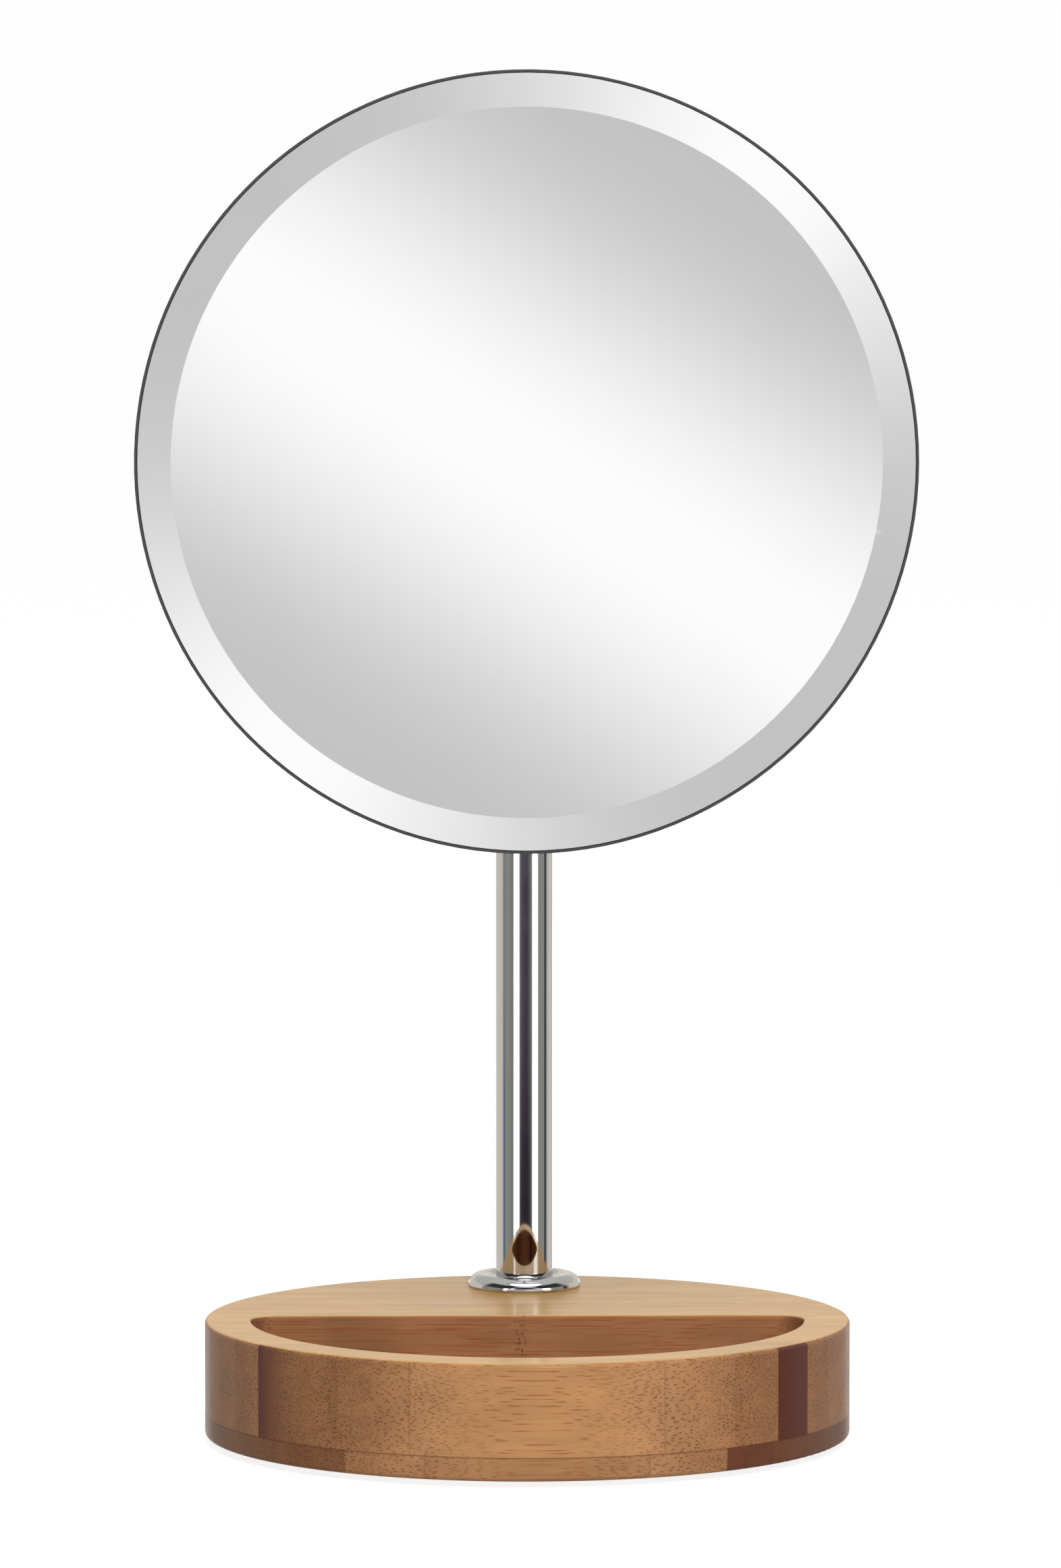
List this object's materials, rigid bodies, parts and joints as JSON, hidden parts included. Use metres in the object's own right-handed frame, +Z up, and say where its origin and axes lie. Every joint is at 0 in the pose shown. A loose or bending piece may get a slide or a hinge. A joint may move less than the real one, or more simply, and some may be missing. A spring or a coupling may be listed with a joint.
{
  "type": "table shaving mirror",
  "caption": "Round bevelled shaving mirror on a ball joint and chromed post, standing on a round bamboo base with a half-moon tray.",
  "frame": {"origin": "on the table, under the axis of the round base", "axes": "+Z up, -Y towards the user (the mirror faces -Y), +X to the right as seen by the user"},
  "size_m": [0.17, 0.14, 0.297],
  "materials": {
    "bamboo_block": "satin lacquered laminated bamboo",
    "bamboo_plate": "satin lacquered laminated bamboo",
    "foot_rubber": "matte",
    "chrome": "polished",
    "zinc_steel": "zinc plated",
    "nylon": "matte",
    "cover_steel": "satin",
    "socket_steel": "satin",
    "mirror_glass": "polished",
    "edge_band": "matte",
    "foam_tape": "matte"
  },
  "bodies": {
    "stand": {"base_block": "bamboo_block", "base_plate": "bamboo_plate", "foot_1": "foot_rubber", "foot_2": "foot_rubber", "foot_3": "foot_rubber", "foot_4": "foot_rubber", "base_bolt": "zinc_steel", "flat_washer": "zinc_steel", "spring_washer": "zinc_steel", "post_collar": "chrome", "post_tube": "chrome", "foot_insert": "zinc_steel", "stud_anchor": "zinc_steel", "post_cap": "chrome", "ball_stud": "chrome", "saddle_washer": "chrome"},
    "swivel_cup": {"friction_cup": "nylon"},
    "tilt_pad": {"pressure_pad": "nylon", "disc_spring": "zinc_steel"},
    "mirror_head": {"mirror_glass": "mirror_glass", "edge_gasket": "edge_band", "adhesive_ring": "foam_tape", "back_cover": "cover_steel", "stiffener_plate": "zinc_steel", "socket_body": "socket_steel", "rear_seat": "nylon", "cap_ring": "chrome", "socket_screw_1": "zinc_steel", "socket_screw_2": "zinc_steel", "socket_screw_3": "zinc_steel", "socket_screw_4": "zinc_steel"}
  },
  "joints": [
    {"name": "swivel", "type": "hinge", "parent": "stand", "child": "swivel_cup", "pos_m": [0, 0.025, 0.212], "axis": [0, 0, 1], "range_deg": [-25, 25]},
    {"name": "tilt", "type": "hinge", "parent": "swivel_cup", "child": "tilt_pad", "pos_m": [0, 0.025, 0.212], "axis": [1, 0, 0], "range_deg": [-20, 20]},
    {"name": "spin", "type": "hinge", "parent": "tilt_pad", "child": "mirror_head", "pos_m": [0, 0.025, 0.212], "axis": [0, 1, 0], "continuous": true}
  ]
}
